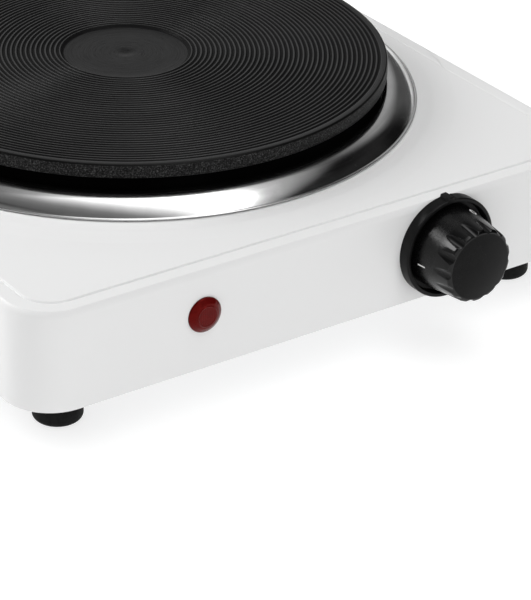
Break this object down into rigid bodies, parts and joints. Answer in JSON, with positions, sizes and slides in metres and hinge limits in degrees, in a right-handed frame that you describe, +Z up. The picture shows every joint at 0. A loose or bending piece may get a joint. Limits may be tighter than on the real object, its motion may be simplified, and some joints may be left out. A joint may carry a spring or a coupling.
{
  "type": "hot plate burner",
  "caption": "Portable electric hot plate: a grooved cast iron plate in a polished trim ring on a white steel body, with a turning heat knob and a red pilot lamp.",
  "frame": {"origin": "centre of the overall box in plan, at the height of the surface that the feet stand on", "axes": "+X to the right as seen from the front, -Y towards the user on the knob's side, +Z up"},
  "size_m": [0.2308, 0.2688, 0.068],
  "materials": {
    "white_enamel": "gloss baked enamel on pressed steel",
    "base_sheet": "plain zinc coated sheet",
    "cast_iron": "black heat resistant coating, turned grooves",
    "polished_trim": "polished stainless steel",
    "plain_steel": "zinc plated",
    "bright_sheet": "bright aluminised sheet",
    "coil_wire": "dull resistance wire envelope",
    "magnesia": "pressed magnesia cement",
    "ceramic": "unglazed steatite",
    "brass": "plain",
    "bimetal": "rolled strip",
    "knob_black": "gloss phenolic with white numerals",
    "bezel_black": "satin phenolic",
    "red_lens": "translucent red",
    "clear_glass": "clear",
    "pale_plastic": "moulded polyamide",
    "resistor_body": "lacquered",
    "black_rubber": "moulded",
    "sleeve_brown": "woven glass sleeve",
    "sleeve_blue": "woven glass sleeve",
    "sleeve_green": "green and yellow sleeve"
  },
  "bodies": {
    "body": {"housing_shell": "white_enamel", "base_plate": "base_sheet", "hotplate_casting": "cast_iron", "heating_coil": "coil_wire", "insulating_filler": "magnesia", "coil_pins": "plain_steel", "terminal_beads": "ceramic", "underside_cover": "plain_steel", "trim_ring": "polished_trim", "centre_stud": "plain_steel", "stud_washers": "plain_steel", "stud_nuts": "plain_steel", "crossbar": "plain_steel", "heat_shield": "bright_sheet", "plate_terminal_block": "ceramic", "plate_terminals": "brass", "plate_terminal_screws": "plain_steel", "block_rivet": "plain_steel", "thermostat_bracket": "plain_steel", "thermostat_bush": "brass", "bush_nut": "plain_steel", "thermostat_insulators": "ceramic", "fixed_contact_blade": "brass", "moving_contact_blade": "brass", "bimetal_blade": "bimetal", "thermostat_rivet": "plain_steel", "tab_receptacles": "brass", "knob_bezel": "bezel_black", "lamp_lens": "red_lens", "neon_bulb": "clear_glass", "lamp_cap": "pale_plastic", "lamp_clip": "plain_steel", "lamp_resistor": "resistor_body", "mains_terminal_block": "pale_plastic", "mains_terminals": "brass", "mains_terminal_screws": "plain_steel", "block_screw": "plain_steel", "earth_screw": "plain_steel", "earth_terminal": "brass", "earth_washer": "plain_steel", "earth_nut": "plain_steel", "cord_gland": "black_rubber", "foot_screws": "plain_steel", "live_feed_lead": "sleeve_brown", "live_plate_lead": "sleeve_brown", "neutral_lead": "sleeve_blue", "earth_lead": "sleeve_green", "lamp_live_lead": "sleeve_brown", "lamp_neutral_lead": "sleeve_blue", "foot_front_left": "black_rubber", "foot_front_right": "black_rubber", "foot_rear_left": "black_rubber", "foot_rear_right": "black_rubber"},
    "knob_turning": {"knob": "knob_black", "knob_clip": "plain_steel", "spindle": "plain_steel"}
  },
  "joints": [
    {"name": "knob_turn", "type": "hinge", "parent": "body", "child": "knob_turning", "pos_m": [0.0446, -0.113, 0.0347], "axis": [0, 1, 0], "range_deg": [-29, 261]}
  ]
}
